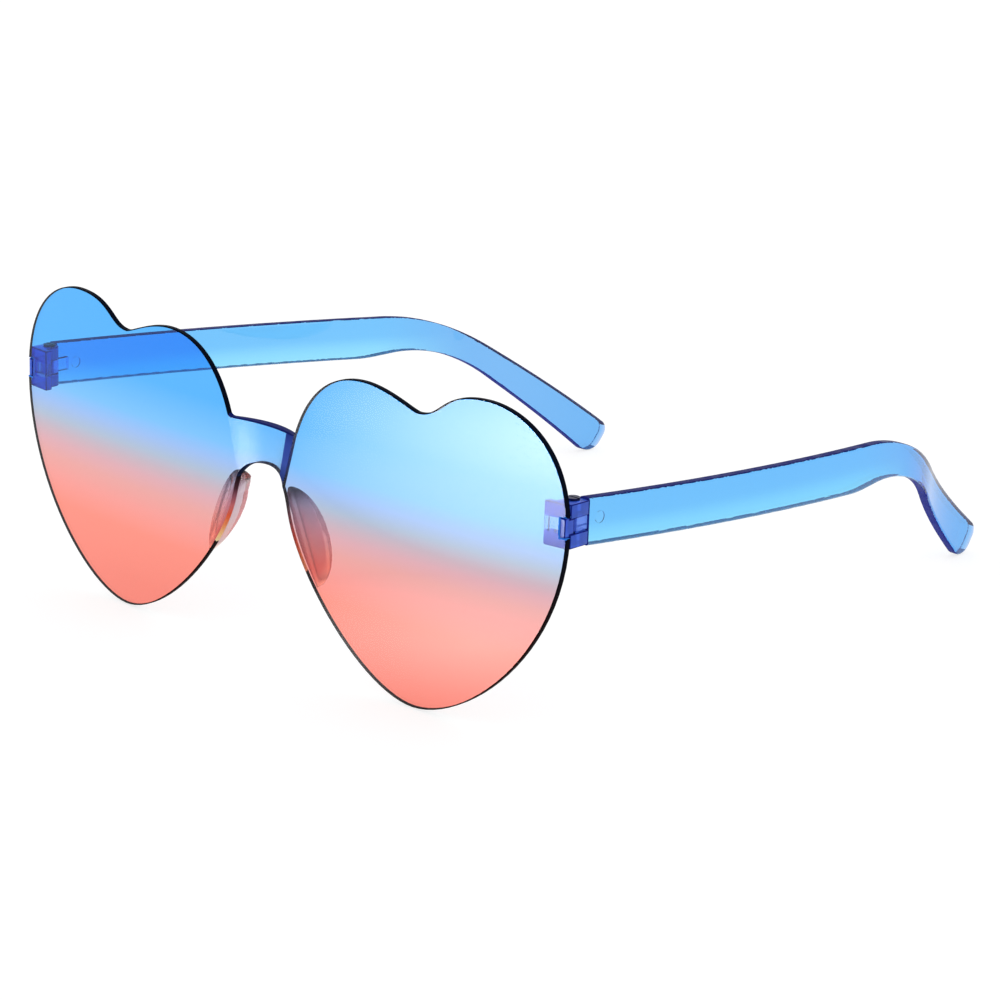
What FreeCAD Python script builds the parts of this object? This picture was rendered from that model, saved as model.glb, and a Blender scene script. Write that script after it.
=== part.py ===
import FreeCAD, Part
import math
import os

# Heart shaped rimless sunglasses, in millimetres and degrees.
# The hearts stand upright and face -Y, the temples run back along +Y, and Z = 0 is the table.
# X is measured from the middle of the bridge and Z from the table.

# Heart outline: the points where it turns level or upright.
HEART_OUTER_X = 71.0
HEART_OUTER_Z = 39.4
HEART_INNER_X = 6.75
HEART_INNER_Z = 32.1
HEART_TIP_X = 38.7
OUTER_LOBE_X = 53.2
OUTER_LOBE_Z = 59.5
INNER_LOBE_X = 25.4
INNER_LOBE_Z = 57.5
CLEFT_X = 38.3
CLEFT_Z = 54.4

# Heart outline: length of the tangent on each side of those points, which sets how full the curve is.
OUTER_LOBE_TANGENT_OUT = 7.7
OUTER_SIDE_TANGENT_UP = 14.9
OUTER_SIDE_TANGENT_DOWN = 22.3
TIP_TANGENT_OUT = 12.2
TIP_TANGENT_IN = 13.0
INNER_SIDE_TANGENT_DOWN = 11.0
INNER_SIDE_TANGENT_UP = 12.6
INNER_LOBE_TANGENT_IN = 13.2
INNER_LOBE_TANGENT_OUT = 5.7
CLEFT_TANGENT_IN = 1.3
CLEFT_TANGENT_OUT = 5.2
OUTER_LOBE_TANGENT_IN = 9.9

# Lens sheet and bridge.
SHEET_WALL = 1.2
LENS_CURVE_RADIUS = 600.0
BRIDGE_TOP_Z = 44.05
BRIDGE_CORNER_RADIUS = 1.0
BRIDGE_RECESS = 1.35
BRIDGE_BACK_BOW = 2.4
CREASE_TOP_X = 8.7
CREASE_ARCH_X = 6.6
NOSE_ARCH_Z = 36.1
NOSE_ARCH_TANGENT = 4.2
ARCH_FOOT_Z = 29.0
ARCH_FOOT_TANGENT_IN = 1.9
ARCH_FOOT_TANGENT_UP = 3.0

# Nose pads.
PAD_TOP_Z = 34.0
PAD_BOTTOM_Z = 16.2
PAD_HALF_WIDTH = 2.5
PAD_DEPTH = 4.5
PAD_FLARE = 1.1

# Hinge lug, its key in the lens edge, and the screw.
HINGE_Z = 40.3
HINGE_HEIGHT = 7.9
HINGE_INSET = 2.4
EAR_HEIGHT = 2.6
KNUCKLE_RADIUS = 1.7
LUG_PLATE_WIDTH = 5.1
LUG_PLATE_WALL = 1.1
LUG_EDGE_INSET = 0.4
KEY_HEIGHT = 3.6
KEY_DEPTH = 1.5
SCREW_RADIUS = 0.7
SCREW_HEAD_RADIUS = 1.2
SCREW_HEAD_HEIGHT = 0.45
SCREW_SLOT_WIDTH = 0.35
SCREW_SLOT_DEPTH = 0.25

# Temple: side view, with its top edge level.
TEMPLE_THICKNESS = 2.3
TEMPLE_OUTER_INSET = 0.2
TEMPLE_LENGTH_TO_BEND = 105.0
TEMPLE_TAIL_LENGTH = 47.9
TEMPLE_BEND_ANGLE = 32.5
TEMPLE_FRONT_HEIGHT = 8.5
TEMPLE_BELLY_HEIGHT = 8.9
TEMPLE_BELLY_SETBACK = 22.5
TEMPLE_WAIST_HEIGHT = 4.5
TEMPLE_TIP_HEIGHT = 8.3
TEMPLE_BEND_TOP_RADIUS = 56.0
TEMPLE_BEND_BOTTOM_RADIUS = 37.0
TEMPLE_BELLY_RADIUS = 40.0
TEMPLE_TIP_TOP_RADIUS = 2.2
TEMPLE_TIP_BOTTOM_RADIUS = 4.1
TEMPLE_EDGE_RADIUS = 0.5

# Temple: plan view, bowed along its length, hooked in behind the ear and flared at the tip.
TEMPLE_SPLAY = 2.3
TEMPLE_BOW_RADIUS = 485.0
TEMPLE_BOW_LENGTH = 101.2
TEMPLE_HOOK_RADIUS = 67.0
TEMPLE_HOOK_ANGLE = 15.3
TEMPLE_FLARE_RADIUS = 76.0

# Temple: hinge end.
NECK_INNER_OFFSET = 0.9
NECK_ROOT_LENGTH = 2.2
PIN_MARK_RADIUS = 1.1
PIN_MARK_DEPTH = 0.15
PIN_MARK_SETBACK = 4.8

# Clearances.
KNUCKLE_GAP = 0.35
BUTT_GAP = 0.15
EAR_GAP = 0.1
KEY_CLEARANCE = 0.05
THREAD_CLEARANCE = 0.02
RUNNING_CLEARANCE = 0.05

Vec = FreeCAD.Vector
UP = Vec(0, 0, 1)

# Half the length of a tool body, enough to reach past any piece that it cuts.
reach = HEART_OUTER_X


def mirrored(shape):
    """The same piece on the other side of the bridge."""
    return shape.mirror(Vec(), Vec(1, 0, 0))


def box(x_span, y_span, z_span):
    size = [high - low for low, high in (x_span, y_span, z_span)]
    return Part.makeBox(*size, Vec(x_span[0], y_span[0], z_span[0]))


def curve(start, start_tangent, end_tangent, end):
    """A cubic curve in the XZ plane from its two ends and the tangent that leaves each of them."""
    ends = [Vec(start[0], 0, start[1]), Vec(end[0], 0, end[1])]
    poles = [ends[0], ends[0] + Vec(start_tangent[0], 0, start_tangent[1])]
    poles += [ends[1] + Vec(end_tangent[0], 0, end_tangent[1]), ends[1]]
    bezier = Part.BezierCurve()
    bezier.setPoles(poles)
    return bezier.toShape()


def heart_face():
    """The heart on the +X side, seen from the front."""
    outer_lobe = (OUTER_LOBE_X, OUTER_LOBE_Z)
    outer_side = (HEART_OUTER_X, HEART_OUTER_Z)
    tip = (HEART_TIP_X, 0)
    inner_side = (HEART_INNER_X, HEART_INNER_Z)
    inner_lobe = (INNER_LOBE_X, INNER_LOBE_Z)
    cleft = (CLEFT_X, CLEFT_Z)
    edges = [
        curve(outer_lobe, (OUTER_LOBE_TANGENT_OUT, 0), (0, OUTER_SIDE_TANGENT_UP), outer_side),
        curve(outer_side, (0, -OUTER_SIDE_TANGENT_DOWN), (TIP_TANGENT_OUT, 0), tip),
        curve(tip, (-TIP_TANGENT_IN, 0), (0, -INNER_SIDE_TANGENT_DOWN), inner_side),
        curve(inner_side, (0, INNER_SIDE_TANGENT_UP), (-INNER_LOBE_TANGENT_IN, 0), inner_lobe),
        curve(inner_lobe, (INNER_LOBE_TANGENT_OUT, 0), (-CLEFT_TANGENT_IN, 0), cleft),
        curve(cleft, (CLEFT_TANGENT_OUT, 0), (-OUTER_LOBE_TANGENT_IN, 0), outer_lobe),
    ]
    return Part.Face(Part.Wire(edges))


def heart_edge(z):
    """The point on the nose-side edge of the +X heart at the height z."""
    level = Part.makeLine(Vec(0, 0, z), Vec(INNER_LOBE_X, 0, z))
    return Vec(heart_face().common(level).BoundBox.XMin, 0, z)


def bridge_face():
    """The strip between the hearts, arched underneath down to their nose-side edges."""
    foot = heart_edge(ARCH_FOOT_Z)
    apex = (0, NOSE_ARCH_Z)
    corners = [
        foot,
        Vec(INNER_LOBE_X, 0, ARCH_FOOT_Z),
        Vec(INNER_LOBE_X, 0, BRIDGE_TOP_Z),
        Vec(-INNER_LOBE_X, 0, BRIDGE_TOP_Z),
        Vec(-INNER_LOBE_X, 0, ARCH_FOOT_Z),
        Vec(-foot.x, 0, ARCH_FOOT_Z),
    ]
    edges = [Part.makeLine(a, b) for a, b in zip(corners, corners[1:])]
    for side in (-1, 1):
        foot_tangent = (-side * ARCH_FOOT_TANGENT_IN, ARCH_FOOT_TANGENT_UP)
        arch_foot = (side * foot.x, ARCH_FOOT_Z)
        edges.append(curve(arch_foot, foot_tangent, (side * NOSE_ARCH_TANGENT, 0), apex))
    return Part.Face(Part.Wire(Part.__sortEdges__(edges)))


def front_prism(y_start, run):
    """Both hearts and the bridge, pushed back from y_start along the vector run."""
    heart = heart_face()
    pieces = []
    for face in (heart, mirrored(heart), bridge_face()):
        pieces.append(face.translated(Vec(0, y_start, 0)).extrude(run))
    return pieces[0].fuse(pieces[1:]).removeSplitter()


def sagitta(x):
    """How far the curved lens sheet has swept back at x."""
    return LENS_CURVE_RADIUS - math.sqrt(LENS_CURVE_RADIUS ** 2 - x ** 2)


def lens_back(x):
    return sagitta(x) + SHEET_WALL


def sheet(y_start, y_end):
    """The curved lens sheet, filled from y_start to y_end behind its front face."""
    end_x = HEART_OUTER_X + KEY_DEPTH
    height = max(OUTER_LOBE_Z, INNER_LOBE_Z) + SHEET_WALL

    def at(x, y):
        return Vec(x, sagitta(x) + y, -SHEET_WALL)

    edges = [Part.Arc(at(-end_x, y), at(0, y), at(end_x, y)).toShape() for y in (y_start, y_end)]
    edges += [Part.makeLine(at(x, y_start), at(x, y_end)) for x in (-end_x, end_x)]
    outline = Part.Wire(Part.__sortEdges__(edges))
    return Part.Face(outline).extrude(Vec(0, 0, height + SHEET_WALL))


def bridge_bow(y, depth):
    """A bow from crease to crease, bulging back by the depth from the sheet's surface at y."""
    slope = (CREASE_TOP_X - CREASE_ARCH_X) / (BRIDGE_TOP_Z - NOSE_ARCH_Z)
    wires = []
    for z in (ARCH_FOOT_Z, BRIDGE_TOP_Z + BRIDGE_CORNER_RADIUS):
        crease_x = CREASE_ARCH_X + slope * (z - NOSE_ARCH_Z)
        base = y + sagitta(crease_x)
        left = Vec(-crease_x, base, z)
        right = Vec(crease_x, base, z)
        ahead = Vec(0, -SHEET_WALL, 0)
        bow = Part.Arc(left, Vec(0, base + depth, z), right).toShape()
        corners = [right, right + ahead, left + ahead, left]
        wires.append(Part.Wire([bow] + [Part.makeLine(a, b) for a, b in zip(corners, corners[1:])]))
    return Part.makeLoft(wires, True, True)


def front_shield():
    outline = front_prism(-reach, Vec(0, 2 * reach, 0))
    front_to_back = [edge for edge in outline.Edges if edge.BoundBox.YLength > reach]
    front_to_back.sort(key=lambda edge: abs(edge.BoundBox.ZMin - BRIDGE_TOP_Z))
    bridge_corners = front_to_back[:2]
    outline = outline.makeFillet(BRIDGE_CORNER_RADIUS, bridge_corners)
    bowed = sheet(0, SHEET_WALL).fuse(bridge_bow(SHEET_WALL, BRIDGE_BACK_BOW))
    shield = bowed.cut(bridge_bow(0, BRIDGE_RECESS)).common(outline)
    notch = key_block(0)
    return shield.cut([notch, mirrored(notch)]).removeSplitter()


def key_block(clearance):
    """The block that keys the +X lug into the lens edge, smaller than its notch by the clearance."""
    half = KEY_HEIGHT / 2 - clearance
    x_span = (HEART_OUTER_X - KEY_DEPTH + clearance, HEART_OUTER_X + KEY_DEPTH)
    return box(x_span, (-reach, reach), (HINGE_Z - half, HINGE_Z + half))


def nose_pad():
    """A thick leaf behind the nose-side edge of the +X heart, whose nose face leans outwards to the back."""
    slant = Vec(PAD_FLARE, PAD_DEPTH, 0)
    run = slant * (2 * reach / PAD_DEPTH)
    nose_side = front_prism(-run.y / 2, run).translated(Vec(-run.x / 2, 0, 0))
    top = heart_edge(PAD_TOP_Z)
    bottom = heart_edge(PAD_BOTTOM_Z)
    middle = (top + bottom) / 2
    across = (top - bottom).cross(Vec(0, 1, 0)).normalize()
    footprint = Part.Ellipse(top, middle + across * PAD_HALF_WIDTH, middle).toShape()
    leaf = Part.Face(Part.Wire(footprint)).extrude(Vec(0, reach, 0))
    back = Vec(0, lens_back(middle.x), 0)
    upright = Vec(0, 0, (PAD_TOP_Z - PAD_BOTTOM_Z) / 2)
    centre = back + Vec(0, 0, middle.z)
    rim = Part.Ellipse(centre + upright, centre + Vec(0, PAD_DEPTH, 0), centre).toShape()
    rounded = Part.Face(Part.Wire(rim)).extrude(Vec(HEART_TIP_X, 0, 0))
    pad = nose_side.common(leaf).common(rounded)
    return pad.cut([sheet(-reach, SHEET_WALL), bridge_bow(SHEET_WALL, BRIDGE_BACK_BOW)])


# Hinge places that the lug, the temple and the screw share.
HINGE_X = HEART_OUTER_X - HINGE_INSET
PLATE_BACK_Y = lens_back(HINGE_X) + LUG_PLATE_WALL
HINGE_Y = PLATE_BACK_Y + KNUCKLE_GAP + KNUCKLE_RADIUS
HINGE_BOTTOM_Z = HINGE_Z - HINGE_HEIGHT / 2
HINGE_TOP_Z = HINGE_Z + HINGE_HEIGHT / 2
TEMPLE_OUTER_X = HEART_OUTER_X - TEMPLE_OUTER_INSET
TEMPLE_FRONT_Y = HINGE_Y + KNUCKLE_RADIUS + BUTT_GAP
PIVOT_FOOT = Vec(HINGE_X, HINGE_Y, HINGE_BOTTOM_Z)


def hinge_lug():
    plate_outer = HEART_OUTER_X - LUG_EDGE_INSET
    plate_span = (plate_outer - LUG_PLATE_WIDTH, plate_outer)
    lug = box(plate_span, (0, PLATE_BACK_Y), (HINGE_BOTTOM_Z, HINGE_TOP_Z))
    for foot_z in (HINGE_BOTTOM_Z, HINGE_TOP_Z - EAR_HEIGHT):
        z_span = (foot_z, foot_z + EAR_HEIGHT)
        knuckle = Part.makeCylinder(KNUCKLE_RADIUS, EAR_HEIGHT, Vec(HINGE_X, HINGE_Y, foot_z))
        web = box((HINGE_X - KNUCKLE_RADIUS, TEMPLE_OUTER_X), (0, HINGE_Y), z_span)
        shoulder = box((HINGE_X, TEMPLE_OUTER_X), (0, HINGE_Y + KNUCKLE_RADIUS), z_span)
        lug = lug.fuse([knuckle, web, shoulder])
    lug = lug.cut(sheet(-reach, SHEET_WALL))
    key = key_block(KEY_CLEARANCE).common(sheet(0, SHEET_WALL + LUG_PLATE_WALL))
    key = key.common(box((0, plate_outer), (0, reach), (HINGE_BOTTOM_Z, HINGE_TOP_Z)))
    bore = Part.makeCylinder(SCREW_RADIUS + THREAD_CLEARANCE, HINGE_HEIGHT, PIVOT_FOOT)
    return lug.fuse(key).cut(bore).removeSplitter()


def hinge_screw():
    shank = Part.makeCylinder(SCREW_RADIUS, HINGE_HEIGHT, PIVOT_FOOT)
    seat = Vec(HINGE_X, HINGE_Y, HINGE_TOP_Z)
    head = Part.makeCylinder(SCREW_HEAD_RADIUS, SCREW_HEAD_HEIGHT, seat)
    slot_x = (HINGE_X - SCREW_HEAD_RADIUS, HINGE_X + SCREW_HEAD_RADIUS)
    slot_y = (HINGE_Y - SCREW_SLOT_WIDTH / 2, HINGE_Y + SCREW_SLOT_WIDTH / 2)
    head_top = HINGE_TOP_Z + SCREW_HEAD_HEIGHT
    slot = box(slot_x, slot_y, (head_top - SCREW_SLOT_DEPTH, head_top))
    return shank.fuse(head).cut(slot).removeSplitter()


def meet(a, b, c, d):
    """Where the line through a and b crosses the line through c and d, in the YZ plane."""
    along = b - a
    other = d - c
    step = ((c - a).cross(other)).x / (along.cross(other)).x
    return a + along * step


def corner_round(before, corner, after, radius):
    """Start, middle, end and centre of the arc that rounds a corner in the YZ plane."""
    back = (before - corner).normalize()
    ahead = (after - corner).normalize()
    half = back.getAngle(ahead) / 2
    inward = (back + ahead).normalize()
    centre = corner + inward * (radius / math.sin(half))
    trim = radius / math.tan(half)
    return corner + back * trim, centre - inward * radius, corner + ahead * trim, centre


def temple_side_corners():
    """Corners of the temple's side view before it is tilted, from the hinge end round, with their radii."""
    bend = math.radians(TEMPLE_BEND_ANGLE)
    tail = Vec(0, math.cos(bend), -math.sin(bend))
    across = Vec(0, math.sin(bend), math.cos(bend))
    knee = Vec(0, TEMPLE_LENGTH_TO_BEND, 0)
    tip = knee + tail * TEMPLE_TAIL_LENGTH
    half_front = UP * (TEMPLE_FRONT_HEIGHT / 2)
    half_waist = across * (TEMPLE_WAIST_HEIGHT / 2)
    half_tip = across * (TEMPLE_TIP_HEIGHT / 2)
    over_knee = knee + half_front
    knee_top = meet(half_front, over_knee, knee + half_waist, tip + half_tip)
    belly = over_knee - Vec(0, TEMPLE_BELLY_SETBACK, TEMPLE_BELLY_HEIGHT)
    stub = Vec(0, -TEMPLE_FRONT_HEIGHT, 0)
    return {
        "stub_top": (stub + half_front, 0),
        "front_top": (half_front, 0),
        "knee_top": (knee_top, TEMPLE_BEND_TOP_RADIUS),
        "tip_top": (tip + half_tip, TEMPLE_TIP_TOP_RADIUS),
        "tip_bottom": (tip - half_tip, TEMPLE_TIP_BOTTOM_RADIUS),
        "knee_bottom": (knee - half_waist, TEMPLE_BEND_BOTTOM_RADIUS),
        "belly": (belly, TEMPLE_BELLY_RADIUS),
        "front_bottom": (-half_front, 0),
        "stub_bottom": (stub - half_front, 0),
    }


def rounded_face(corners):
    """A face in the YZ plane from corners and the radius that rounds each of them, 0 for a sharp one."""
    edges = []
    pen = corners[0][0]
    for before, (point, radius), after in zip(corners, corners[1:], corners[2:] + corners[:1]):
        if radius:
            start, middle, end, _ = corner_round(before[0], point, after[0], radius)
            edges.append(Part.makeLine(pen, start))
            edges.append(Part.Arc(start, middle, end).toShape())
            pen = end
        else:
            edges.append(Part.makeLine(pen, point))
            pen = point
    edges.append(Part.makeLine(pen, corners[0][0]))
    return Part.Face(Part.Wire(edges))


def temple_tilt(corners):
    """The tilt that sets the rounded tip on the table, with the hinge end at the height of the hinge."""
    corner, radius = corners["tip_bottom"]
    centre = corner_round(corners["tip_top"][0], corner, corners["knee_bottom"][0], radius)[3]
    arm = math.hypot(centre.y, centre.z)
    return math.degrees(math.asin((radius - HINGE_Z) / arm) - math.atan2(centre.z, centre.y))


def temple_wall():
    """The upright wall that the temple is cut from: in plan, arcs that each leave the last one smoothly."""
    turns = [
        (TEMPLE_BOW_RADIUS, (TEMPLE_FRONT_HEIGHT + TEMPLE_BOW_LENGTH) / TEMPLE_BOW_RADIUS),
        (TEMPLE_HOOK_RADIUS, math.radians(TEMPLE_HOOK_ANGLE)),
        (-TEMPLE_FLARE_RADIUS, -TEMPLE_TAIL_LENGTH / TEMPLE_FLARE_RADIUS),
    ]

    def inward(heading):
        return Vec(-math.cos(heading), -math.sin(heading), 0)

    heading = -TEMPLE_FRONT_HEIGHT / TEMPLE_BOW_RADIUS
    start = inward(0) * TEMPLE_BOW_RADIUS - inward(heading) * TEMPLE_BOW_RADIUS
    ends = [start, start + inward(heading) * TEMPLE_THICKNESS]
    edges = [Part.makeLine(*ends)]
    for radius, turn in turns:
        centre = ends[0] + inward(heading) * radius
        for side, depth in enumerate((0, TEMPLE_THICKNESS)):
            middle = centre - inward(heading + turn / 2) * (radius - depth)
            end = centre - inward(heading + turn) * (radius - depth)
            edges.append(Part.Arc(ends[side], middle, end).toShape())
            ends[side] = end
        heading += turn
    edges.append(Part.makeLine(*ends))
    length = TEMPLE_LENGTH_TO_BEND + TEMPLE_TAIL_LENGTH
    plan = Part.Face(Part.Wire(Part.__sortEdges__(edges)))
    return plan.translated(UP * -length).extrude(UP * (2 * length))


def temple_blade():
    """The blade: its tilted side view cut from the wall, with its long edges rounded, then splayed."""
    corners = temple_side_corners()
    tilt = temple_tilt(corners)
    side_view = rounded_face(list(corners.values())).translated(Vec(-reach, 0, 0))
    slab = side_view.extrude(Vec(2 * reach, 0, 0))
    slab.rotate(Vec(), Vec(1, 0, 0), tilt)
    blade = slab.common(temple_wall())
    wall_edges = []
    for face in blade.Faces:
        if isinstance(face.Surface, Part.Cylinder) and abs(face.Surface.Axis.z) > abs(face.Surface.Axis.x):
            wall_edges += face.Edges
    rims = [edge for edge in wall_edges if sum(edge.isSame(other) for other in wall_edges) == 1]
    blade = blade.makeFillet(TEMPLE_EDGE_RADIUS, rims)
    inner_radius = TEMPLE_BOW_RADIUS - TEMPLE_THICKNESS
    mark_x = math.sqrt(inner_radius ** 2 - PIN_MARK_SETBACK ** 2) - TEMPLE_BOW_RADIUS
    mark_foot = Vec(mark_x - TEMPLE_THICKNESS, PIN_MARK_SETBACK, 0)
    mark_length = TEMPLE_THICKNESS + PIN_MARK_DEPTH
    mark = Part.makeCylinder(PIN_MARK_RADIUS, mark_length, mark_foot, Vec(1, 0, 0))
    mark.rotate(Vec(), Vec(1, 0, 0), tilt)
    blade = blade.cut(mark)
    blade.rotate(Vec(), UP, -TEMPLE_SPLAY)
    blade.translate(Vec(TEMPLE_OUTER_X, TEMPLE_FRONT_Y, HINGE_Z))
    return blade.cut(box((0, 2 * reach), (-reach, TEMPLE_FRONT_Y), (-reach, 2 * reach)))


def temple():
    tongue_height = HINGE_HEIGHT - 2 * EAR_HEIGHT - 2 * EAR_GAP
    foot = Vec(HINGE_X, HINGE_Y, HINGE_Z - tongue_height / 2)
    knuckle = Part.makeCylinder(KNUCKLE_RADIUS, tongue_height, foot)
    neck_x = (HINGE_X - NECK_INNER_OFFSET, HINGE_X + KNUCKLE_RADIUS)
    neck_y = (HINGE_Y, TEMPLE_FRONT_Y + NECK_ROOT_LENGTH)
    neck = box(neck_x, neck_y, (foot.z, foot.z + tongue_height))
    bore = Part.makeCylinder(SCREW_RADIUS + RUNNING_CLEARANCE, tongue_height, foot)
    return temple_blade().fuse([knuckle, neck]).cut(bore).removeSplitter()


pieces = {"front_shield": front_shield()}
for name, make in (
    ("nose_pad", nose_pad),
    ("hinge_lug", hinge_lug),
    ("hinge_screw", hinge_screw),
    ("temple", temple),
):
    left = make()
    pieces[name + "_left"] = left
    pieces[name + "_right"] = mirrored(left)

# The origin goes under the middle of the whole outline, on the table.
whole = Part.makeCompound(list(pieces.values())).optimalBoundingBox(False)
to_origin = Vec(0, -(whole.YMin + whole.YMax) / 2, 0)

os.makedirs("parts", exist_ok=True)
for name, shape in pieces.items():
    moved = shape.translated(to_origin)
    moved.exportStep("parts/" + name + ".step")
    print(name, "solids", len(moved.Solids), "valid", moved.isValid(), "volume", round(moved.Volume, 2))
print("left hinge axis at", PIVOT_FOOT + to_origin)
print("overall", whole.XLength, whole.YLength, whole.ZLength)
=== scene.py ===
import math
import bmesh
import bpy
from mathutils import Matrix, Vector


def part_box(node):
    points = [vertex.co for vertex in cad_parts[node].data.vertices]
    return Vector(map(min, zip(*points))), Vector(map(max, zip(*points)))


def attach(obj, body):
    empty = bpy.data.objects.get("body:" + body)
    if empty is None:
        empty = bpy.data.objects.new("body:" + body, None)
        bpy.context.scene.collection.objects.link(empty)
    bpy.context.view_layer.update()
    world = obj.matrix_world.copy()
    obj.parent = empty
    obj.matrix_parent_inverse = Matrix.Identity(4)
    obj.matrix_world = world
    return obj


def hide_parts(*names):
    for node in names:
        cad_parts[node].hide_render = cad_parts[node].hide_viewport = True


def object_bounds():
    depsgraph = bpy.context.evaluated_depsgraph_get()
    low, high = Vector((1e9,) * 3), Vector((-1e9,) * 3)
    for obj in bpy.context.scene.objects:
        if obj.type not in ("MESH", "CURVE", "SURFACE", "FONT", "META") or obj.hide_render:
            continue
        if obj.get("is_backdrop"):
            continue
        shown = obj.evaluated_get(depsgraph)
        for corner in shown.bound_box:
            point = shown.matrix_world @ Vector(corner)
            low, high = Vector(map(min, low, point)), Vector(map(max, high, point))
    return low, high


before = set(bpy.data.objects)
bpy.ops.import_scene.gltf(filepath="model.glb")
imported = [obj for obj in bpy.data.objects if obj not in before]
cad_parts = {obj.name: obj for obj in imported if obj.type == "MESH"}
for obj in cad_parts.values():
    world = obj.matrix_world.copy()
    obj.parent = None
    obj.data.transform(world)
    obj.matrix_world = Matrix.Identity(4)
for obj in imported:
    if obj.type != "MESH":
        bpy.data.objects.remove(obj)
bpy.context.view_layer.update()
scene = bpy.context.scene
scene.view_settings.view_transform = "Standard"

# Lens front: both hearts and the bridge are one moulded sheet of polycarbonate, dipped in dye so that
# it fades from blue at the top to coral at the tips. It is trimmed to its outline, which leaves a crisp
# edge all round, painted dark as painted shade, and the bridge bows back between the hearts from a crease on
# each side.

# Sizes are in mm, and MM turns them to metres.
MM = 0.001
MERGE_DISTANCE = 0.001
SHEET_WALL = 1.2
EDGE_CHAMFER = 0.22
OUTLINE_STEPS = 24
LENS_CRISP_ANGLE = 9
LENS_CURVE_RADIUS = 600.0
ARCH_FOOT_Z = 29.0
ARCH_HANDLE = 5.6
NOSE_ARCH_Z = 36.4
BRIDGE_TOP_Z = 44.05
BRIDGE_MARGIN = 1
CREASE_ARCH_X = 6.6
CREASE_TOP_X = 8.7
BRIDGE_RECESS = 1.35
BRIDGE_BACK_BOW = 2.4
NOTCH_X = 69.5
NOTCH_LOW_Z = 38.5
NOTCH_HIGH_Z = 42.1

# Outline of the +X half in mm: each point with the handle before it and after it, or None at a corner.
NOSE_ARCH = ((0, NOSE_ARCH_Z), (ARCH_HANDLE, NOSE_ARCH_Z), (-ARCH_HANDLE, NOSE_ARCH_Z))
HALF_OUTLINE = {
    "bridge top": ((7.85, BRIDGE_TOP_Z), None, (8.28, BRIDGE_TOP_Z)),
    "bridge corner": ((8.8, 44.73), (8.66, 44.32), (11.45, 52.03)),
    "inner lobe": ((25.4, 57.5), (16.77, 57.5), (31.1, 57.5)),
    "cleft": ((38.3, 54.4), (37.0, 54.4), (43.5, 54.4)),
    "outer lobe": ((53.2, 59.5), (43.3, 59.5), (60.42, 59.5)),
    "notch top": ((70.88, NOTCH_HIGH_Z), (69.74, 54.93), None),
    "notch top inside": ((NOTCH_X, NOTCH_HIGH_Z), None, None),
    "notch bottom inside": ((NOTCH_X, NOTCH_LOW_Z), None, None),
    "notch bottom": ((70.99, NOTCH_LOW_Z), None, (70.46, 16.64)),
    "tip": ((38.7, 0), (50.74, 0), (26.84, 0)),
    "arch foot": ((7.17, ARCH_FOOT_Z), (10.02, 17.57), (5.97, 33.8)),
}


def flip(point):
    """The same place on the other side of the bridge."""
    return point and (-point[0], point[1])


def plate(name, knots, wall, chamfer):
    """A flat plate in the XZ plane, trimmed to a closed outline and chamfered round both faces."""
    outline = bpy.data.curves.new(name, "CURVE")
    outline.dimensions = "2D"
    outline.fill_mode = "BOTH"
    outline.resolution_u = OUTLINE_STEPS
    outline.extrude = (wall / 2 - chamfer) * MM
    outline.bevel_depth = chamfer * MM
    outline.bevel_resolution = 0
    outline.offset = -chamfer * MM
    spline = outline.splines.new("BEZIER")
    spline.use_cyclic_u = True
    spline.bezier_points.add(len(knots) - 1)
    for bezier, (point, before, after) in zip(spline.bezier_points, knots):
        bezier.handle_left_type = "FREE"
        bezier.handle_right_type = "FREE"
        bezier.co = Vector((*point, 0)) * MM
        bezier.handle_left = Vector((*(before or point), 0)) * MM
        bezier.handle_right = Vector((*(after or point), 0)) * MM
    cutter = bpy.data.objects.new(name, outline)
    flat = bpy.data.meshes.new_from_object(cutter)
    bm = bmesh.new()
    bm.from_mesh(flat)
    bpy.data.objects.remove(cutter)
    bpy.data.meshes.remove(flat)
    bmesh.ops.remove_doubles(bm, verts=bm.verts, dist=MERGE_DISTANCE * MM)
    bmesh.ops.rotate(bm, verts=bm.verts, matrix=Matrix.Rotation(math.radians(90), 3, "X"))
    bmesh.ops.recalc_face_normals(bm, faces=bm.faces)
    return bm


def sagitta(x):
    """How far the curved sheet has swept back at x."""
    return LENS_CURVE_RADIUS - math.sqrt(LENS_CURVE_RADIUS ** 2 - x ** 2)


def crease_x(z):
    """Half the width of the bowed part of the bridge at the height z."""
    slope = (CREASE_TOP_X - CREASE_ARCH_X) / (BRIDGE_TOP_Z - NOSE_ARCH_Z)
    return CREASE_ARCH_X + slope * (z - NOSE_ARCH_Z)


def cut(bm, faces, place, normal):
    """A new edge loop where a plane crosses the given faces."""
    edges = {edge for face in faces for edge in face.edges}
    verts = {vert for face in faces for vert in face.verts}
    bmesh.ops.bisect_plane(
        bm,
        geom=[*verts, *edges, *faces],
        dist=MERGE_DISTANCE * MM,
        plane_co=Vector(place) * MM,
        plane_no=normal,
    )


def near_bridge(bm, reach):
    """The faces whose middle lies within the reach of the middle plane, in mm."""
    return [face for face in bm.faces if abs(face.calc_center_median().x) < reach * MM]


def finish_mesh(bm, name, crisp_angle):
    """A smooth-shaded object from a bmesh, with edges steeper than the angle kept crisp."""
    bm.normal_update()
    for face in bm.faces:
        face.smooth = True
    for edge in bm.edges:
        edge.smooth = edge.calc_face_angle(0) < math.radians(crisp_angle)
    mesh = bpy.data.meshes.new(name)
    bm.to_mesh(mesh)
    bm.free()
    piece = bpy.data.objects.new(name, mesh)
    scene.collection.objects.link(piece)
    return piece


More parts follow.
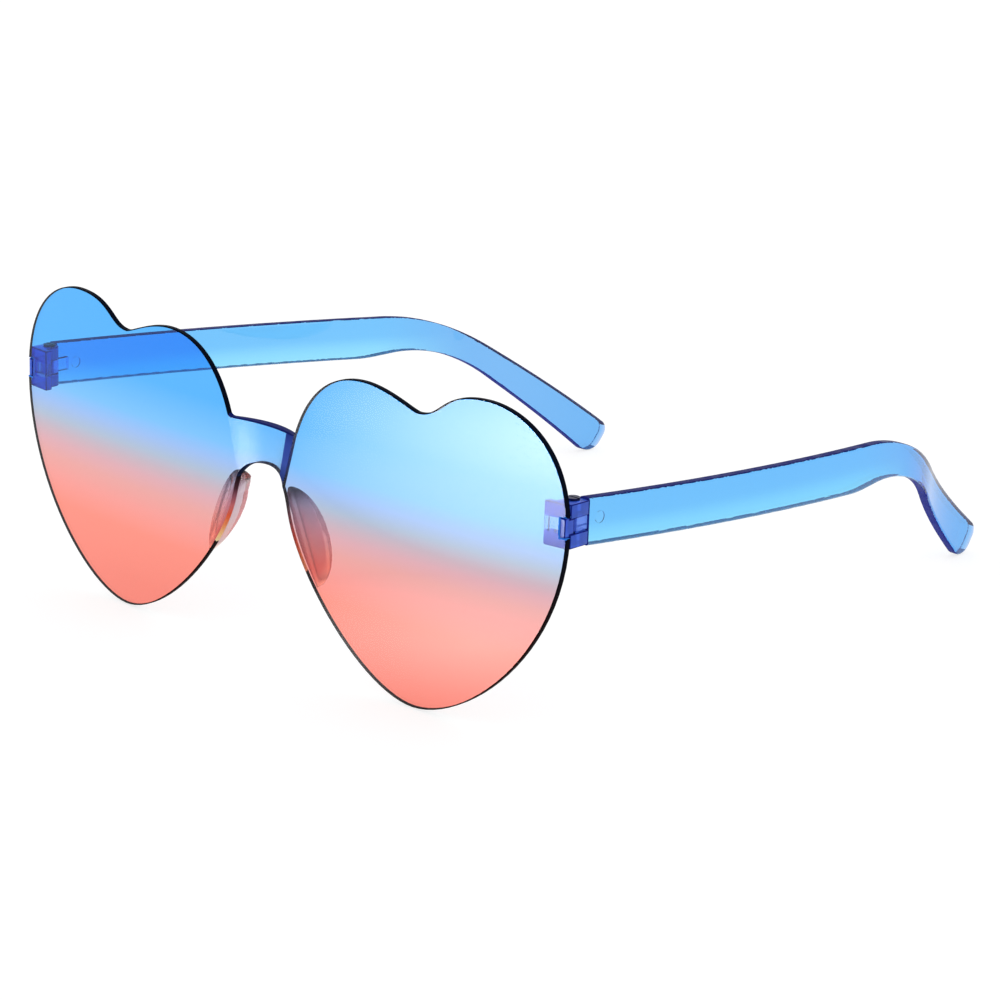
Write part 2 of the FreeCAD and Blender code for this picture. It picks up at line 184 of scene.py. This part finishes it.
# The plate's two wide faces are told from its edge by their normals, and lose the curve's own triangles.
FACE, RIM, BRIDGE_RIM, FLANK, PAINTED_WELD_EDGE, BOW = range(6)
FACE_TURN = 0.9
right_half = list(HALF_OUTLINE.values())
left_half = [(flip(point), flip(after), flip(before)) for point, before, after in reversed(right_half)]
sheet = plate("lens_front", right_half + [NOSE_ARCH] + left_half, SHEET_WALL, EDGE_CHAMFER)
for face in sheet.faces:
    face.material_index = FACE if abs(face.normal.y) > FACE_TURN else RIM
flat_edges = [edge for edge in sheet.edges if all(face.material_index == FACE for face in edge.link_faces)]
bmesh.ops.dissolve_edges(sheet, edges=flat_edges)

# The sheet is cut into strips that can follow its curve, finer across the bridge and along its creases.
STRIP_WIDTH = 3
BRIDGE_STRIPS = 40
BRIDGE_ROW = 2
BRIDGE_REACH = CREASE_TOP_X + BRIDGE_MARGIN
FLANK_START = 0.7
lens_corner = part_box("front_shield")[1]
half_width = lens_corner.x / MM
lens_front_y = lens_corner.y / MM - SHEET_WALL - sagitta(half_width)
last_strip = int(half_width // STRIP_WIDTH)
for strip in range(-last_strip, last_strip + 1):
    cut(sheet, sheet.faces[:], (strip * STRIP_WIDTH, 0, 0), (1, 0, 0))
for strip in range(1, BRIDGE_STRIPS):
    x = BRIDGE_REACH * (2 * strip / BRIDGE_STRIPS - 1)
    cut(sheet, near_bridge(sheet, BRIDGE_REACH + STRIP_WIDTH), (x, 0, 0), (1, 0, 0))
for share in (-1, FLANK_START, 1):
    lean = Vector((BRIDGE_TOP_Z - NOSE_ARCH_Z, 0, -share * (CREASE_TOP_X - CREASE_ARCH_X)))
    crease_top = (share * CREASE_TOP_X, 0, BRIDGE_TOP_Z)
    cut(sheet, near_bridge(sheet, BRIDGE_REACH + STRIP_WIDTH), crease_top, lean)
for z in range(math.ceil(ARCH_FOOT_Z), math.ceil(BRIDGE_TOP_Z), BRIDGE_ROW):
    cut(sheet, near_bridge(sheet, BRIDGE_REACH), (0, 0, z), (0, 0, 1))

# Where a nose pad or a lug is welded behind it, the edge is painted with the refracted colours of that piece.
# The bow of the bridge has its own finish, and its flank on the +X side is painted with a deep navy band of
# painted shade.
PAD_EDGE_LOW_Z = 19.2
PAD_EDGE_HIGH_Z = 33.5
NOTCH_MARGIN = 0.2
bridge_high_z = BRIDGE_TOP_Z + BRIDGE_MARGIN
for face in sheet.faces:
    x, _, z = face.calc_center_median() / MM
    at_notch_height = NOTCH_LOW_Z - NOTCH_MARGIN < z < NOTCH_HIGH_Z + NOTCH_MARGIN
    in_notch = at_notch_height and abs(x) > NOTCH_X - NOTCH_MARGIN
    if face.material_index == RIM and abs(x) < BRIDGE_REACH + STRIP_WIDTH:
        if PAD_EDGE_LOW_Z < z < PAD_EDGE_HIGH_Z:
            face.material_index = PAINTED_WELD_EDGE
        elif abs(x) < CREASE_TOP_X and PAD_EDGE_HIGH_Z < z < bridge_high_z:
            face.material_index = BRIDGE_RIM
    elif face.material_index == RIM and in_notch:
        face.material_index = PAINTED_WELD_EDGE
    elif face.material_index == FACE and abs(x) < crease_x(z) and z > NOSE_ARCH_Z - 2 * BRIDGE_MARGIN:
        face.material_index = FLANK if x > FLANK_START * crease_x(z) else BOW

# The flat sheet is bent: each point keeps its place through the wall, from 0 in front to 1 at the back.
for vert in sheet.verts:
    x, y, z = vert.co / MM
    through = y / SHEET_WALL + 0.5
    bow = max(0, 1 - (x / crease_x(z)) ** 2) if ARCH_FOOT_Z < z < bridge_high_z else 0
    set_back = bow * (BRIDGE_RECESS + through * (BRIDGE_BACK_BOW - BRIDGE_RECESS))
    vert.co.y = (lens_front_y + sagitta(x) + through * SHEET_WALL + set_back) * MM
lens = finish_mesh(sheet, "lens_front", LENS_CRISP_ANGLE)
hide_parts("front_shield")
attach(lens, "front")

# Nearly all of a noise lies between these two values.
NOISE_LOW = 0.35
NOISE_HIGH = 0.65


def linear(hex_colour):
    """An sRGB hex colour as linear RGBA."""
    channels = [int(hex_colour[i:i + 2], 16) / 255 for i in (1, 3, 5)]
    return [c / 12.92 if c <= 0.04045 else ((c + 0.055) / 1.055) ** 2.4 for c in channels] + [1]


def add_node(tree, kind, settings=(), links=()):
    """A node with its settings, by property or socket name, and the outputs that feed its sockets."""
    node = tree.nodes.new(kind)
    for name, value in dict(settings).items():
        if hasattr(node, str(name)):
            setattr(node, name, value)
        else:
            node.inputs[name].default_value = value
    for socket, source in dict(links).items():
        tree.links.new(source, node.inputs[socket])
    return node


def new_material(name):
    """An empty material and its node tree."""
    material = bpy.data.materials.new(name)
    material.use_nodes = True
    material.node_tree.nodes.clear()
    return material, material.node_tree


def coloured_by(tree, value, stops):
    """A colour that follows a value, from (value, linear colour) stops in rising order."""
    first = stops[0][0]
    last = stops[-1][0]
    share = add_node(tree, "ShaderNodeMapRange", {"From Min": first, "From Max": last}, {"Value": value})
    ramp = add_node(tree, "ShaderNodeValToRGB", links={"Fac": share.outputs["Result"]})
    while len(ramp.color_ramp.elements) < len(stops):
        ramp.color_ramp.elements.new(0.5)
    for element, (stop, colour) in zip(ramp.color_ramp.elements, stops):
        element.position = (stop - first) / (last - first)
        element.color = colour
    return ramp.outputs["Color"]


def dye(tree, stops):
    """A colour that fades with the height above the table, from (height in mm, linear colour) stops."""
    place = add_node(tree, "ShaderNodeTexCoord")
    axes = add_node(tree, "ShaderNodeSeparateXYZ", links={"Vector": place.outputs["Object"]})
    return coloured_by(tree, axes.outputs["Z"], [(z * MM, colour) for z, colour in stops])


def uneven_polish(tree, patch, smoothest, roughest):
    """A roughness that wanders a little, in patches of about the given size in mm."""
    place = add_node(tree, "ShaderNodeTexCoord")
    settings = {"Scale": 1 / (patch * MM)}
    cloud = add_node(tree, "ShaderNodeTexNoise", settings, {"Vector": place.outputs["Object"]})
    settings = {"From Min": NOISE_LOW, "From Max": NOISE_HIGH, "To Min": smoothest, "To Max": roughest}
    return add_node(tree, "ShaderNodeMapRange", settings, {"Value": cloud.outputs["Fac"]}).outputs["Result"]


def finish_material(tree, settings, links, body=None):
    """The material's surface, with what its body absorbs where light passes through it."""
    surface = add_node(tree, "ShaderNodeBsdfPrincipled", settings, links)
    ends = {"Surface": surface.outputs["BSDF"]}
    if body:
        ends["Volume"] = add_node(tree, "ShaderNodeVolumeAbsorption", body).outputs["Volume"]
    add_node(tree, "ShaderNodeOutputMaterial", links=ends)


# Polished polycarbonate: mirror smooth and see-through, so the dye shows by the light that passes. Its IOR
# is set below the plastic's own 1.58, because the white room would grey what is seen through the lens.
# The written colours are what the eye sees over white, so the share that the faces reflect comes off.
POLYCARBONATE = {"IOR": 1.3, "Transmission Weight": 1.0}
REFLECTED_SHARE = 0.04
TINT = [
    (5, "#fb9284"), (15, "#fe9889"), (20, "#f8a39c"), (24, "#ecaba7"), (27, "#e0b0b7"), (29.5, "#cbb8c3"),
    (32, "#b3c1d6"), (35, "#a1c1f2"), (38.5, "#83c4fd"), (46, "#62b6fc"),
]


def without_reflection(hex_colour):
    """The colour that the dye itself has to pass, as linear RGBA."""
    passed = [max(0, (c - REFLECTED_SHARE) / (1 - REFLECTED_SHARE)) for c in linear(hex_colour)[:3]]
    return passed + [1]


def dyed_sheet(name, **polish):
    """A material of the see-through sheet."""
    material, tree = new_material(name)
    tint = dye(tree, [(z, without_reflection(colour)) for z, colour in TINT])
    finish_material(tree, POLYCARBONATE, {"Base Color": tint, "Roughness": uneven_polish(tree, **polish)})
    return material


dyed_lens = dyed_sheet("polished dyed polycarbonate", patch=8, smoothest=0.0, roughest=0.008)

# Bow of the bridge: the same dyed sheet, stretched when it was bent, so it shines softly, not sharply.
bowed_lens = dyed_sheet("stretched dyed polycarbonate", patch=2, smoothest=0.2, roughest=0.26)

# Trimmed edge: painted nearly black as painted shade, for the light that has run a long way through the dye
# to reach it, with a trace of the tint, and the trimming leaves it fine-ground, with hardly any gloss.
EDGE_PAINTED_SHADE = [(5, "#1c0a08"), (24, "#140b0d"), (33, "#0a0b14"), (46, "#050918")]
EDGE_GLOSS = {"IOR": 1.05}


def dull_band(name, stops, **polish):
    """A material of a dull edge or band of the sheet, coloured by its height."""
    material, tree = new_material(name)
    tint = dye(tree, [(z, linear(colour)) for z, colour in stops])
    finish_material(tree, EDGE_GLOSS, {"Base Color": tint, "Roughness": uneven_polish(tree, **polish)})
    return material


edge_painted_shade = dull_band("trimmed polycarbonate edge with painted shade", EDGE_PAINTED_SHADE, patch=0.8, smoothest=0.25, roughest=0.45)

# Bridge edge: the same trimmed edge with painted shade, navy where the sheet is blue right through.
BRIDGE_EDGE_PAINTED_SHADE = [(33, "#0b1022"), (37, "#0f1c48"), (44, "#101a5c")]
navy_edge_painted_shade = dull_band(
    "trimmed blue polycarbonate edge with painted shade", BRIDGE_EDGE_PAINTED_SHADE, patch=0.8, smoothest=0.25, roughest=0.45
)

# Bridge flank: painted shade, a deep navy band on the +X flank only, where the bowed sheet turns steeply
# away.
FLANK_PAINTED_SHADE = [(34, "#16245a"), (38, "#3a52a8"), (42, "#3248a0"), (44.5, "#1c2c74")]
flank_painted_shade = dull_band("bridge flank with painted shade", FLANK_PAINTED_SHADE, patch=2, smoothest=0.1, roughest=0.3)

# Welded edge: painted with the refracted colours of the pad or the lug behind it, as painted light and shade,
# from a painted warm glow at the pad's lower end to painted smoky shade at its top, and the lug's blue in the
# notch.
WELD_PAINTED_REFRACTION = [
    (19, "#fbe0b0"), (20.5, "#f8c888"), (23, "#f08a58"), (25, "#e8603c"), (27, "#c86a6c"), (29, "#8e5260"),
    (30.5, "#4a2832"), (33, "#140c12"), (38, "#3b86ee"), (42, "#3b86ee"),
]
edge_painted_refraction = dull_band("polycarbonate edge with painted refraction", WELD_PAINTED_REFRACTION, patch=2, smoothest=0.05, roughest=0.2)
for material in (dyed_lens, edge_painted_shade, navy_edge_painted_shade, flank_painted_shade, edge_painted_refraction, bowed_lens):
    lens.data.materials.append(material)

# Nose pads: a thick clear leaf behind the nose-side edge of each heart, moulded from clear
# polycarbonate and welded to the back of the sheet, with rounded ends and edges.
PAD_VOXEL = 0.2
PAD_SMOOTHING = 12
PAD_CRISP_ANGLE = 180


def merged_copy(node):
    """A bmesh of a node's own shape with its loose triangles joined."""
    bm = bmesh.new()
    bm.from_mesh(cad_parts[node].data)
    bmesh.ops.remove_doubles(bm, verts=bm.verts, dist=MERGE_DISTANCE * MM)
    return bm


# Clear polycarbonate: nearly colourless, with a rose cast, a painted warm refraction of the coral lens below
# and painted smoky shade at the tops. Across the leaf runs one painted pale highlight streak, with painted
# smoky shade on both sides of it.
# Its IOR is set below the real one too, so that the rounded edges don't turn black.
PAD_TINT_AND_PAINTED_SHADE = [
    (17, "#feecdc"), (20, "#fcc6b4"), (23.5, "#fae2de"), (27, "#f6eaee"), (31, "#e2d6e0"), (32.4, "#8c7078"),
    (33.4, "#40303a"),
]

# The painted highlight streak leans with the leaf: its stops are the distance from the middle plane plus a
# share of the height.
PAD_LEAN = 0.433
PAD_PAINTED_HIGHLIGHT = [
    (19.0, "#84747c"), (20.2, "#a8909a"), (21.1, "#c898a8"), (21.6, "#ffffff"), (22.2, "#ffffff"),
    (22.6, "#9c8c9a"), (23.2, "#e8dce2"), (25.5, "#ffffff"),
]
PAD_CLARITY = {"IOR": 1.2, "Transmission Weight": 1.0, "Coat Weight": 0.5, "Coat Roughness": 0.05}

# Sockets of a node that mixes two colours.
MIX_SHARE, MIX_FIRST, MIX_SECOND, MIXED = 0, 6, 7, 2
clear_pad, tree = new_material("moulded clear polycarbonate with painted highlight")
place = add_node(tree, "ShaderNodeTexCoord")
axes = add_node(tree, "ShaderNodeSeparateXYZ", links={"Vector": place.outputs["Object"]})
aside = add_node(tree, "ShaderNodeMath", {"operation": "ABSOLUTE"}, {0: axes.outputs["X"]})
settings = {"operation": "MULTIPLY_ADD", 1: PAD_LEAN}
across = add_node(tree, "ShaderNodeMath", settings, {0: axes.outputs["Z"], 2: aside.outputs["Value"]})
highlight_stops = [(distance * MM, linear(colour)) for distance, colour in PAD_PAINTED_HIGHLIGHT]
painted_highlight = coloured_by(tree, across.outputs["Value"], highlight_stops)
pad_tint_and_shade = dye(tree, [(z, linear(colour)) for z, colour in PAD_TINT_AND_PAINTED_SHADE])
settings = {"data_type": "RGBA", "blend_type": "MULTIPLY", MIX_SHARE: 1.0}
tint = add_node(tree, "ShaderNodeMix", settings, {MIX_FIRST: pad_tint_and_shade, MIX_SECOND: painted_highlight})
polish = uneven_polish(tree, patch=2, smoothest=0.01, roughest=0.05)
finish_material(tree, PAD_CLARITY, {"Base Color": tint.outputs[MIXED], "Roughness": polish})
for side in ("left", "right"):
    pad = finish_mesh(merged_copy("nose_pad_" + side), side + "_nose_pad", PAD_CRISP_ANGLE)
    rounding = pad.modifiers.new("rounded", "REMESH")
    rounding.mode = "VOXEL"
    rounding.voxel_size = PAD_VOXEL * MM
    rounding.use_smooth_shade = True
    smoothing = pad.modifiers.new("polished", "SMOOTH")
    smoothing.iterations = PAD_SMOOTHING
    pad.data.materials.append(clear_pad)
    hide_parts("nose_pad_" + side)
    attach(pad, "front")

# Hinge lugs: small moulded blocks of blue acrylic, keyed into the outer edge of each heart and welded
# to its back by two prongs. Two ears carry the screw, and every moulded edge is slightly rounded.
LUG_EDGE = 0.16
LUG_EDGE_STEPS = 2
LUG_SHARP_ANGLE = 40
FLAT_ANGLE = 1
CRISP_ANGLE = 30
PRONG_END = 3.2
PRONG_HEIGHT = 2.6
LUG_BLOCK, LUG_SHADED_EDGE, LUG_PLATE = range(3)


def one_colour(name, hex_colour, settings, **polish):
    """A material of one colour whose polish wanders a little."""
    material, tree = new_material(name)
    links = {"Roughness": uneven_polish(tree, **polish)}
    finish_material(tree, {**settings, "Base Color": linear(hex_colour)}, links)
    return material


# Moulded acrylic: clear blue without dark inner reflections, so its IOR is low and a clear coat carries
# the gloss. In the thick prongs and ears less light passes, so they look deeper than the thin temples.
ACRYLIC = {
    "IOR": 1.05,
    "Transmission Weight": 1.0,
    "Coat Weight": 1.0,
    "Coat IOR": 1.49,
    "Coat Roughness": 0.02,
}
THICK_ACRYLIC = {**ACRYLIC, "Transmission Weight": 0.5, "Coat Weight": 0.4}
LUG_COLOUR = "#4a74ee"
lug_blue = one_colour(
    "moulded blue acrylic", LUG_COLOUR, THICK_ACRYLIC, patch=1.5, smoothest=0.0, roughest=0.06
)

# Edge of the moulding: painted shade, a navy line on each rounded edge, where it turns the light away from
# the eye.
EDGE_SHADE_COLOUR = "#141f74"
lug_painted_edge_shade = one_colour(
    "rounded blue acrylic edge with painted shade", EDGE_SHADE_COLOUR, EDGE_GLOSS, patch=0.8, smoothest=0.2, roughest=0.4
)

# Plate between the prongs: thin, and frosted by the weld, so it is a pale lavender.
FROST_COLOUR = "#dfe0fb"
frosted = one_colour(
    "frosted blue acrylic", FROST_COLOUR, ACRYLIC, patch=1.0, smoothest=0.1, roughest=0.25
)
for side in ("left", "right"):
    low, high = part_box("hinge_lug_" + side)
    outward = 1 if side == "left" else -1
    plate_end = low.x if side == "left" else high.x
    prong_x = plate_end + outward * PRONG_END * MM
    gap_low = low.z + PRONG_HEIGHT * MM
    gap_high = high.z - PRONG_HEIGHT * MM
    block = merged_copy("hinge_lug_" + side)
    bmesh.ops.dissolve_limit(
        block, angle_limit=math.radians(FLAT_ANGLE), verts=block.verts, edges=block.edges
    )
    cut(block, block.faces[:], (prong_x / MM, 0, 0), (1, 0, 0))
    for z in (gap_low, gap_high):
        cut(block, block.faces[:], (0, 0, z / MM), (0, 0, 1))
    for face in block.faces:
        middle = face.calc_center_median()
        between_prongs = gap_low < middle.z < gap_high and outward * (middle.x - prong_x) < 0
        face.material_index = LUG_PLATE if between_prongs else LUG_BLOCK
    sharp = [edge for edge in block.edges if edge.calc_face_angle(0) > math.radians(LUG_SHARP_ANGLE)]
    rounded = bmesh.ops.bevel(
        block,
        geom=sharp,
        offset=LUG_EDGE * MM,
        affect="EDGES",
        segments=LUG_EDGE_STEPS,
        profile=0.5,
        material=-1,
    )
    for face in rounded["faces"]:
        face.material_index = LUG_SHADED_EDGE
    lug = finish_mesh(block, side + "_hinge_lug", CRISP_ANGLE)
    for material in (lug_blue, lug_painted_edge_shade, frosted):
        lug.data.materials.append(material)
    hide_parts("hinge_lug_" + side)
    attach(lug, "front")

# Temples: long blades of blue acrylic, moulded in one with the hinge tongue, bowed to the head and
# turned down and in behind the ear. Their wide faces are polished and their narrow walls left as moulded.
TEMPLE_TILT = 5.0
TEMPLE_HALF_HEIGHT = 4.3
TAIL_START = 15
TAIL_FULL = 45
TONGUE_RUN = 0.1
TONGUE_HALF_HEIGHT = 1.3
BLADE, TOP_WALL, TAIL_WALL, LOWER_WALL, TONGUE = range(5)

# Polished acrylic: light passes straight through the wide faces, which are painted lighter along the lower
# edge as painted light.
# Behind the ear the blade is seen at a flatter angle, so it is painted a little deeper there as painted
# shade.
BLUE_BODY = {"Color": linear("#98ecfd"), "Density": 640.0}
FACE_TINT_AND_PAINTED_LIGHT = ["#ffffff", "#eaf2ff", "#c6ddfc", "#c2dbfc", "#c2dbfc"]
TAIL_PAINTED_SHADE = "#c4cdf4"
temple_blue, tree = new_material("polished blue acrylic with painted light")
place = add_node(tree, "ShaderNodeTexCoord")
axes = add_node(tree, "ShaderNodeSeparateXYZ", links={"Vector": place.outputs["Object"]})
slope = math.tan(math.radians(TEMPLE_TILT))
settings = {"operation": "MULTIPLY_ADD", 1: slope}
level = add_node(tree, "ShaderNodeMath", settings, {0: axes.outputs["Y"], 2: axes.outputs["Z"]})
lug_low, lug_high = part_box("hinge_lug_left")
hinge_middle = (lug_low + lug_high) / 2
blade_middle = hinge_middle.z + slope * hinge_middle.y
steps = len(FACE_TINT_AND_PAINTED_LIGHT) - 1
stops = [
    (blade_middle + TEMPLE_HALF_HEIGHT * MM * (2 * step / steps - 1), linear(colour))
    for step, colour in enumerate(FACE_TINT_AND_PAINTED_LIGHT)
]
face_tint_and_light = coloured_by(tree, level.outputs["Value"], stops)
settings = {"interpolation_type": "SMOOTHSTEP", "From Min": TAIL_START * MM, "From Max": TAIL_FULL * MM}
behind = add_node(tree, "ShaderNodeMapRange", settings, {"Value": axes.outputs["Y"]})
settings = {"data_type": "RGBA", MIX_SECOND: linear(TAIL_PAINTED_SHADE)}
tint = add_node(tree, "ShaderNodeMix", settings, {MIX_SHARE: behind.outputs["Result"], MIX_FIRST: face_tint_and_light})
polish = uneven_polish(tree, patch=5, smoothest=0.0, roughest=0.02)
finish_material(tree, ACRYLIC, {"Base Color": tint.outputs[MIXED], "Roughness": polish}, BLUE_BODY)

# Moulded walls: painted shade for light that has run along the blade, navy above, violet under the tail
# and a thin grey-blue line along the lower edge.
WALL_PAINTED_SHADES = {"top": "#0c1664", "tail": "#2c3596", "lower": "#8fb0d0"}
painted_shade_walls = [
    one_colour(
        "moulded blue acrylic " + name + " wall", colour, EDGE_GLOSS, patch=2, smoothest=0.2, roughest=0.4
    )
    for name, colour in WALL_PAINTED_SHADES.items()
]

# Limits on a face's normal that tell the walls from the wide faces, and the walls from each other.
WALL_TURN = 0.64
EDGE_TURN = 0.35
END_TURN = 0.5
TOP_TURN = 0.3
TAIL_TURN = -0.3
tongue_end = lug_high.y + TONGUE_RUN * MM
for side in ("left", "right"):
    blade = merged_copy("temple_" + side)
    blade.normal_update()
    for face in blade.faces:
        middle = face.calc_center_median()
        is_wall = abs(face.normal.x) < WALL_TURN
        if middle.y < tongue_end and abs(middle.z - hinge_middle.z) < TONGUE_HALF_HEIGHT * MM:
            face.material_index = TONGUE
        elif is_wall and face.normal.z > TOP_TURN:
            face.material_index = TOP_WALL
        elif is_wall and face.normal.y < TAIL_TURN:
            face.material_index = TAIL_WALL
        elif is_wall and (face.normal.y < END_TURN or abs(face.normal.x) > EDGE_TURN):
            face.material_index = LOWER_WALL
        else:
            face.material_index = BLADE
    temple = finish_mesh(blade, side + "_temple", CRISP_ANGLE)
    temple.modifiers.new("even faces", "WEIGHTED_NORMAL").keep_sharp = True
    for material in (temple_blue, *painted_shade_walls, lug_blue):
        temple.data.materials.append(material)
    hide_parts("temple_" + side)
    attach(temple, side + "_arm")

# Hinge screws: small slotted screws, turned from steel and blackened, that run down through the ears of
# the lug and the tongue of the temple. The blackening leaves a dim, bluish metal.
STEEL = {"Metallic": 1.0}
SCREW_COLOUR = "#1d2148"
blackened = one_colour(
    "blackened turned steel", SCREW_COLOUR, STEEL, patch=0.5, smoothest=0.25, roughest=0.45
)
for side in ("left", "right"):
    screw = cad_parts["hinge_screw_" + side]
    screw.data.materials.clear()
    screw.data.materials.append(blackened)

# Floor: a sheet of white paper under the glasses, which keeps their faint shadow. The eye, and what
# shines or lets light through, sees it as the white of the background.
FLOOR_HALF = 3000
FLOOR_GAP = 0.2
PAPER_COLOUR = "#e7e7e7"
SHADOW_COLOUR = "#959595"
PAPER_GLOW = 0.76
paper_sheet = bmesh.new()
bmesh.ops.create_grid(paper_sheet, x_segments=1, y_segments=1, size=FLOOR_HALF * MM)
bmesh.ops.translate(paper_sheet, verts=paper_sheet.verts, vec=(0, 0, -FLOOR_GAP * MM))
floor = finish_mesh(paper_sheet, "floor", CRISP_ANGLE)
floor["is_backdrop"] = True
paper, tree = new_material("white paper")
path = add_node(tree, "ShaderNodeLightPath")
either = {"operation": "MAXIMUM"}
links = {0: path.outputs["Is Camera Ray"], 1: path.outputs["Is Glossy Ray"]}
seen = add_node(tree, "ShaderNodeMath", either, links)
links = {0: seen.outputs["Value"], 1: path.outputs["Is Transmission Ray"]}
seen = add_node(tree, "ShaderNodeMath", either, links)
plain = add_node(tree, "ShaderNodeBsdfDiffuse", {"Color": linear(PAPER_COLOUR)})
shaded = add_node(tree, "ShaderNodeBsdfDiffuse", {"Color": linear(SHADOW_COLOUR)})
glow = add_node(tree, "ShaderNodeEmission", {"Strength": PAPER_GLOW})
white = add_node(tree, "ShaderNodeAddShader", links={0: shaded.outputs["BSDF"], 1: glow.outputs["Emission"]})
links = {0: seen.outputs["Value"], 1: plain.outputs["BSDF"], 2: white.outputs["Shader"]}
mixed = add_node(tree, "ShaderNodeMixShader", links=links)
add_node(tree, "ShaderNodeOutputMaterial", links={"Surface": mixed.outputs["Shader"]})
floor.data.materials.append(paper)

# Studio light: an even white room, and two soft round light panels that lie on the floor in front. The one
# further off gleams high on the lens and the nearer one low, and nothing but a gleam shows them.
WHITE = "#ffffff"
PANEL_STEPS = 64
LIGHT_PANELS = {
    "high": {"x": 5, "ahead": 172.5, "reach": (140, 100), "strength": 35.0},
    "low": {"x": 30, "ahead": 34, "reach": (52, 36), "strength": 7.8},
}
world = bpy.data.worlds.new("studio")
scene.world = world
world.use_nodes = True
world.node_tree.nodes.clear()
sky = add_node(world.node_tree, "ShaderNodeBackground", {"Color": linear(WHITE), "Strength": 1.0})
add_node(world.node_tree, "ShaderNodeOutputWorld", links={"Surface": sky.outputs["Background"]})
for name, light in LIGHT_PANELS.items():
    panel_place = Vector((light["x"], lens_front_y - light["ahead"], 0)) * MM
    panel_reach = Vector((*light["reach"], max(light["reach"]))) * MM
    disc = bmesh.new()
    bmesh.ops.create_circle(disc, cap_ends=True, segments=PANEL_STEPS, radius=1)
    bmesh.ops.scale(disc, verts=disc.verts, vec=panel_reach)
    bmesh.ops.translate(disc, verts=disc.verts, vec=panel_place)
    panel = finish_mesh(disc, name + "_light_panel", CRISP_ANGLE)
    panel.visible_camera = False
    panel.visible_diffuse = False
    panel.visible_transmission = False
    panel.visible_shadow = False
    panel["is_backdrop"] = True
    soft_light, tree = new_material("soft " + name + " light")
    place = add_node(tree, "ShaderNodeTexCoord")
    settings = {"vector_type": "TEXTURE", "Location": panel_place, "Scale": panel_reach}
    centred = add_node(tree, "ShaderNodeMapping", settings, {"Vector": place.outputs["Object"]})
    settings = {"gradient_type": "SPHERICAL"}
    fade = add_node(tree, "ShaderNodeTexGradient", settings, {"Vector": centred.outputs["Vector"]})
    settings = {"operation": "MULTIPLY", 1: light["strength"]}
    strength = add_node(tree, "ShaderNodeMath", settings, {0: fade.outputs["Fac"]})
    shine = add_node(tree, "ShaderNodeEmission", links={"Strength": strength.outputs["Value"]})
    clear = add_node(tree, "ShaderNodeBsdfTransparent")
    links = {0: shine.outputs["Emission"], 1: clear.outputs["BSDF"]}
    both = add_node(tree, "ShaderNodeAddShader", links=links)
    add_node(tree, "ShaderNodeOutputMaterial", links={"Surface": both.outputs["Shader"]})
    panel.data.materials.append(soft_light)

# Camera: a long lens in front of the wearer's left side and a little above.
CAMERA_AZIMUTH = 42.286
CAMERA_ELEVATION = 16.93
CAMERA_ROLL = 1.905
CAMERA_DISTANCE = 599.607
SENSOR_WIDTH = 36
FOCAL_LENGTH = 118.23
NEAREST_SEEN = 10
AIM_X = 32.484
AIM_BEHIND_LENS = 29.548
AIM_Z = 31.511
camera_data = bpy.data.cameras.new("camera")
camera_data.sensor_width = SENSOR_WIDTH
camera_data.lens = FOCAL_LENGTH
camera_data.clip_start = NEAREST_SEEN * MM
camera = bpy.data.objects.new("camera", camera_data)
scene.collection.objects.link(camera)
scene.camera = camera
azimuth = math.radians(CAMERA_AZIMUTH)
elevation = math.radians(CAMERA_ELEVATION)
right = Vector((math.cos(azimuth), math.sin(azimuth), 0))
ahead = Vector((-math.sin(azimuth), math.cos(azimuth), 0))
out = Vector((0, 0, math.sin(elevation))) - ahead * math.cos(elevation)
upright = Matrix((right, out.cross(right), out)).transposed()
turn = upright @ Matrix.Rotation(math.radians(CAMERA_ROLL), 3, "Z")
aim = Vector((AIM_X, lens_front_y + AIM_BEHIND_LENS, AIM_Z))
camera.matrix_world = Matrix.Translation((aim + out * CAMERA_DISTANCE) * MM) @ turn.to_4x4()

low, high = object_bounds()
